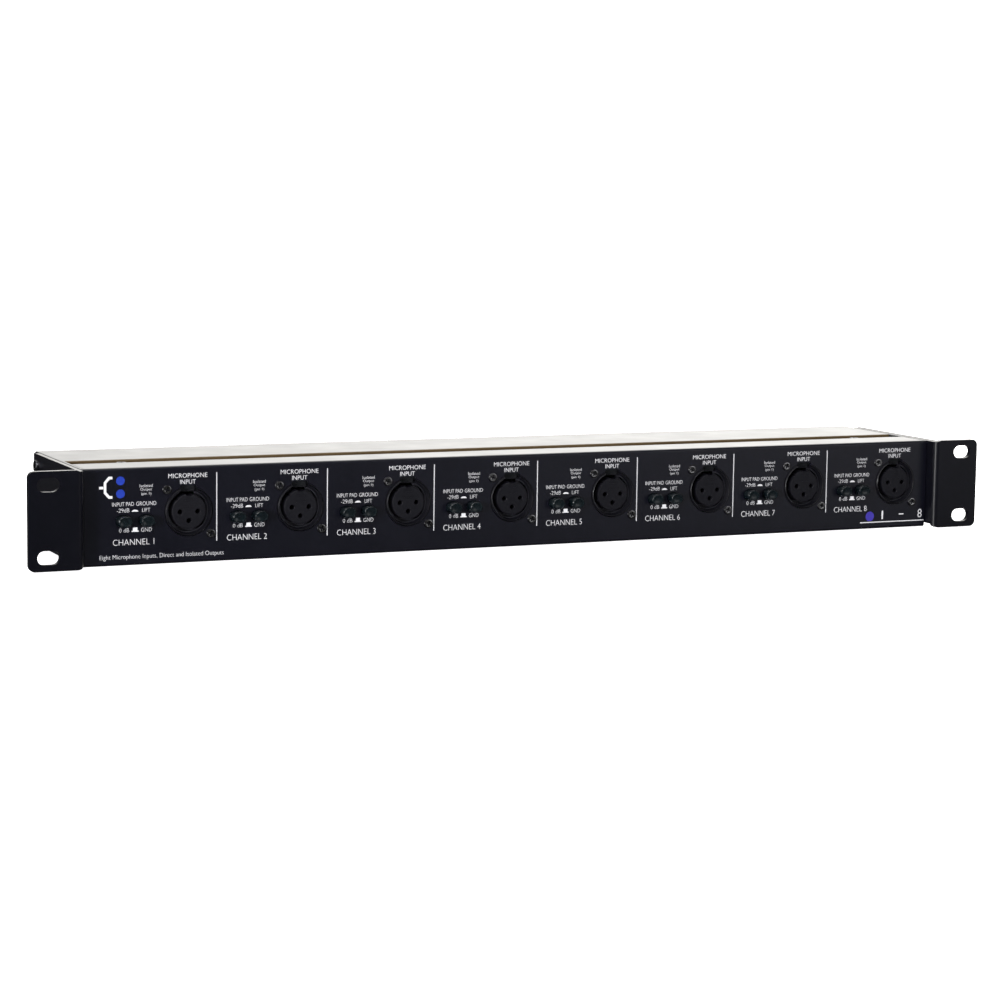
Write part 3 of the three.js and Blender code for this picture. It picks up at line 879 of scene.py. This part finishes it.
def print_channel(i):
    """All the words of one channel, given for the first: left, right, foot, head, weight."""
    shift = i * PITCH / MM
    number = i + 1
    plain, thin, thinnest = -0.009, -0.014, -0.017
    words = [
        ("microphone", "MICROPHONE", -176.8, -158.8, 16.0, 17.95, plain),
        ("input", "INPUT", -171.4, -164.2, 13.2, 15.1, plain),
        ("pad", "INPUT PAD", -202.2, -192.4, 4.4, 6.15, thin),
        ("ground", "GROUND", -191.4, -182.3, 4.4, 6.15, thin),
        ("pad_in", "-29dB", -200.1, -194.5, 1.6, 3.4, thin),
        ("lift", "LIFT", -188.7, -185.1, 1.55, 3.2, thin),
        ("pad_out", "0 dB", -199.2, -194.6, -7.2, -5.4, thin),
        ("gnd", "GND", -189.2, -184.35, -7.2, -5.4, thin),
        ("isolated", "Isolated", -189.75, -183.9, 12.45, 13.8, thin),
        ("output", "Output", -189.5, -184.2, 10.6, 12.1, thin),
        ("pin", "(pin 1)", -189.1, -184.6, 8.75, 10.25, thin),
        ("channel", f"CHANNEL {number}", -202.0, -183.3, -12.9, -10.25, thinnest),
    ]
    for key, text, x0, x1, z0, z1, weight in words:
        legend(f"print_{key}_{number}", text, x0 + shift, x1 + shift, z0, z1, weight)
    print_button_signs(number, -193.5 + shift, -190.35 + shift)


def print_branch_sign():
    """One line that parts into two, with a dot for each, at the panel's upper left."""
    width = 1.15
    mark("print_branch_stem", stroke([(-208.05, 12.75), (-206.15, 12.75)], width))
    mark("print_branch", stroke([(-202.1, 17.0), (-203.6, 17.0), (-205.4, 14.9), (-205.4, 10.6),
                                 (-203.6, 8.5), (-202.1, 8.5)], width))
    for name, z in (("upper", 15.6), ("lower", 9.9)):
        mark(f"print_branch_end_{name}", circle((-198.5, z), 1.95, 32), BLUE_INK)


def print_range():
    """The channels' range over a thin rule, at the panel's lower right."""
    foot, head = -17.3, -13.1
    mark("print_rule", box_outline(179.0, 216.0, -18.9, -18.45))
    mark("print_dot", circle((184.5, -15.7), 2.4, 32), VIOLET_INK)
    legend("print_first", "1", 191.35, 192.15, foot, head)
    mark("print_to", box_outline(201.4, 204.1, -15.4, -14.9))
    legend("print_last", f"{CHANNELS}", 212.4, 214.8, foot, head)


def make_panel_print():
    for i in range(CHANNELS):
        print_channel(i)
    first_divider, top = -154.52, 17.93
    for i in range(CHANNELS - 1):
        print_divider(f"print_divider_{i + 1}", first_divider + i * PITCH / MM, top)
    legend("print_description", "Eight Microphone Inputs, Direct and Isolated Outputs", -208, -151.3,
           -19.6, -17.0, weight=-0.016)
    print_branch_sign()
    print_range()


def make_rear_print():
    """The channel numbers and the two kinds of output, above the rear connectors."""
    foot, head = 14.0, 15.7
    for i in range(CHANNELS):
        number = i + 1
        direct = middle(f"direct_output_{number}").x / MM
        isolated = middle(f"isolated_output_{number}").x / MM
        legend(f"rear_direct_{number}", "DIRECT", direct - 3.6, direct + 3.6, foot, head, rear=True)
        legend(f"rear_isolated_{number}", "ISOLATED", isolated - 4.6, isolated + 4.6, foot, head,
               rear=True)
        centre = (direct + isolated) / 2
        half = 0.9 if i else 0.3
        legend(f"rear_number_{number}", f"{number}", centre - half, centre + half, 13.6, 16.4,
               rear=True)
        if i:
            print_divider(f"rear_divider_{i}", centre - PITCH / MM / 2, 17.0, rear=True)


# ---- boards ------------------------------------------------------------------------------------
def paint_boards():
    """The two boards stay as they are in the frame and only get their colour."""
    for name in ("front_board", "rear_board"):
        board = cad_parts[name]
        board.data.materials.clear()
        board.data.materials.append(BOARD)


# ---- studio ------------------------------------------------------------------------------------
def make_world():
    """Light from behind and the right, for the case's top, and nearly none elsewhere."""
    world = bpy.data.worlds.new("studio")
    bpy.context.scene.world = world
    world.use_nodes = True
    nodes, links = world.node_tree.nodes, world.node_tree.links
    brightest = Vector((0.62, 0.75, 0.26)).normalized()
    where = nodes.new("ShaderNodeTexCoord")
    facing = nodes.new("ShaderNodeVectorMath")
    facing.operation = "DOT_PRODUCT"
    facing.inputs[1].default_value = brightest
    links.new(where.outputs["Generated"], facing.inputs[0])
    ramp = nodes.new("ShaderNodeMapRange")
    ramp.interpolation_type = "SMOOTHSTEP"
    ramp.inputs["From Min"].default_value = 0.66
    ramp.inputs["From Max"].default_value = 1.0
    ramp.inputs["To Min"].default_value = 0.045
    ramp.inputs["To Max"].default_value = 3.17
    links.new(facing.outputs["Value"], ramp.inputs["Value"])
    background = nodes["Background"]
    background.inputs["Color"].default_value = (1, 0.985, 0.95, 1)
    links.new(ramp.outputs["Result"], background.inputs["Strength"])


def make_ground():
    """A pale floor, and a wide pale drum round it that only the camera sees."""
    floor = turned("floor", [(0, -0.2 * MM), (6, -0.2 * MM), (6, -1 * MM), (0, -1 * MM)], axis="Z")
    backdrop = turned("backdrop", [(0, -2 * MM), (9, -2 * MM), (9, 5), (0, 5)], axis="Z")
    pale = surface("pale_floor", (0.85, 0.85, 0.85), roughness=0.6, grain_mm=2.0, bump=0.05,
                   mottle=0.02)
    shader = pale.node_tree.nodes["Principled BSDF"]
    shader.inputs["Emission Color"].default_value = (1, 1, 1, 1)
    shader.inputs["Emission Strength"].default_value = 1.0
    for thing in (floor, backdrop):
        thing.data.materials.append(pale)
        thing.visible_glossy = False
    backdrop.visible_diffuse = False
    backdrop.visible_shadow = False


def make_lamps():
    """A soft key from the left, a low edge light, a weak fill from the right and a top light."""
    target = Vector((0, 0, 0.02))
    lamps = [
        ("key", (-0.7, -1.4, 1.6), 0.9, 0.9, 31),
        ("edge", (-1.5, -1.0, 0.18), 0.3, 0.3, 28),
        ("fill", (1.1, -1.55, 0.35), 0.8, 0.8, 2.6),
        ("top", (0.1, 0.4, 1.8), 1.6, 1.0, 16),
    ]
    for name, spot, width, height, watts in lamps:
        data = bpy.data.lights.new(name, "AREA")
        data.shape = "RECTANGLE"
        data.size = width
        data.size_y = height
        data.energy = watts
        lamp = bpy.data.objects.new(name, data)
        lamp.location = spot
        lamp.rotation_euler = (target - Vector(spot)).to_track_quat("-Z", "Y").to_euler()
        bpy.context.scene.collection.objects.link(lamp)


# ---- the scene ---------------------------------------------------------------------------------
bpy.context.scene.view_settings.view_transform = "Standard"
make_camera()
make_chassis()
make_cover()
make_ear(-1, "left")
make_ear(1, "right")
small_screw = screw_pattern("small_screw", radius=2.05 * MM, height=1.0 * MM, cross=1.25 * MM)
make_inputs(small_screw)
make_outputs(small_screw)
remove_patterns(small_screw)
make_case_screws()
make_buttons()
make_panel_print()
make_rear_print()
paint_boards()
make_world()
make_ground()
make_lamps()
